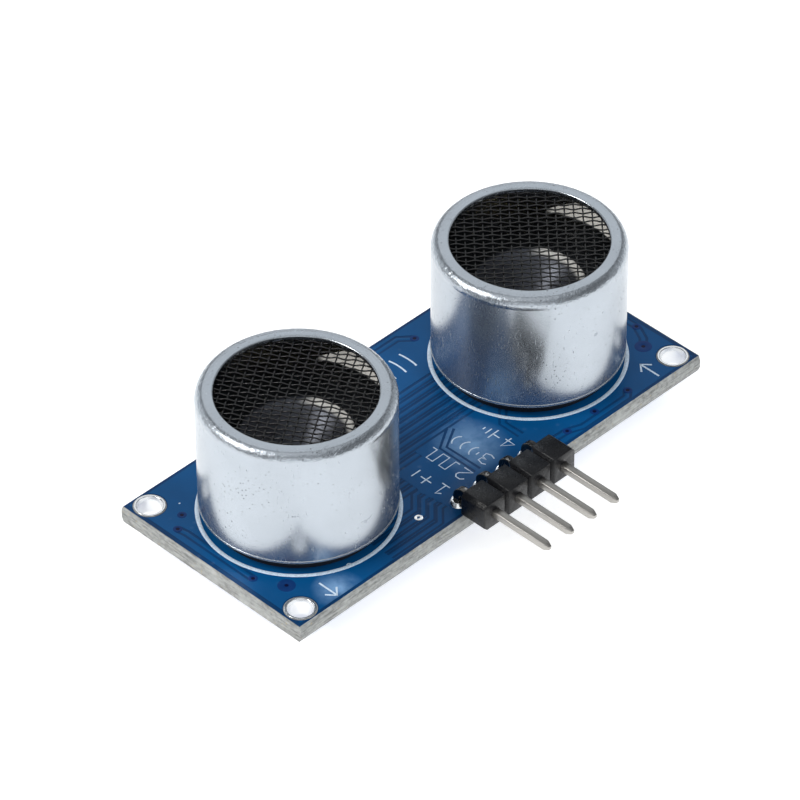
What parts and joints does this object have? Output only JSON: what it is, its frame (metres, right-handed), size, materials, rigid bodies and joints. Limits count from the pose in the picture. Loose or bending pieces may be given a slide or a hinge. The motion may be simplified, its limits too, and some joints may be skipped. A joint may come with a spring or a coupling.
{
  "type": "ultrasonic distance sensor",
  "caption": "Rectangular circuit board with round metal-canned ultrasonic transducers behind mesh grilles, a right-angle pin header and corner mounting holes.",
  "frame": {"origin": "centre of the four mounting holes, on the back face of the circuit board", "axes": "+X runs along the board from the transmitting to the receiving transducer, +Y points away from the pin header, +Z points out of the transducers' mouths"},
  "size_m": [0.045, 0.0284, 0.0152],
  "materials": {
    "board": "blue solder mask over glass laminate",
    "plating": "tinned",
    "header_plastic": "moulded black",
    "pin_metal": "tin-plated, dull",
    "solder": "bright solder",
    "chip_plastic": "moulded black",
    "leg_metal": "tinned",
    "crystal_ceramic": "fired",
    "crystal_lid": "plated lid",
    "resistor_body": "glazed black",
    "capacitor_body": "fired, tan",
    "end_cap": "tinned",
    "can": "drawn, satin",
    "grille": "black woven wire",
    "cone": "thin sheet, bright",
    "diaphragm": "bare",
    "piezo": "silvered ceramic",
    "silicone": "soft",
    "base": "moulded black",
    "sealant": "cured bead",
    "terminal": "tinned",
    "lead": "enamelled wire"
  },
  "bodies": {
    "root": {"capacitor_bodies": "capacitor_body", "capacitor_end_caps": "end_cap", "circuit_board": "board", "controller_chip": "chip_plastic", "controller_legs": "leg_metal", "crystal_lid": "crystal_lid", "crystal_tray": "crystal_ceramic", "header_body": "header_plastic", "header_pin_echo": "pin_metal", "header_pin_ground": "pin_metal", "header_pin_power": "pin_metal", "header_pin_trigger": "pin_metal", "header_solder_joints": "solder", "mounting_hole_linings": "plating", "receive_amplifier_chip": "chip_plastic", "receive_amplifier_legs": "leg_metal", "receiver_base": "base", "receiver_can": "can", "receiver_cone": "cone", "receiver_diaphragm": "diaphragm", "receiver_grille": "grille", "receiver_leads": "lead", "receiver_piezo_disc": "piezo", "receiver_seal": "sealant", "receiver_solder_joints": "solder", "receiver_support_ring": "silicone", "receiver_terminals": "terminal", "resistor_bodies": "resistor_body", "resistor_end_caps": "end_cap", "supply_switch_legs": "leg_metal", "supply_switch_transistor": "chip_plastic", "transmit_driver_chip": "chip_plastic", "transmit_driver_legs": "leg_metal", "transmitter_base": "base", "transmitter_can": "can", "transmitter_cone": "cone", "transmitter_diaphragm": "diaphragm", "transmitter_grille": "grille", "transmitter_leads": "lead", "transmitter_piezo_disc": "piezo", "transmitter_seal": "sealant", "transmitter_solder_joints": "solder", "transmitter_support_ring": "silicone", "transmitter_terminals": "terminal"}
  },
  "joints": []
}
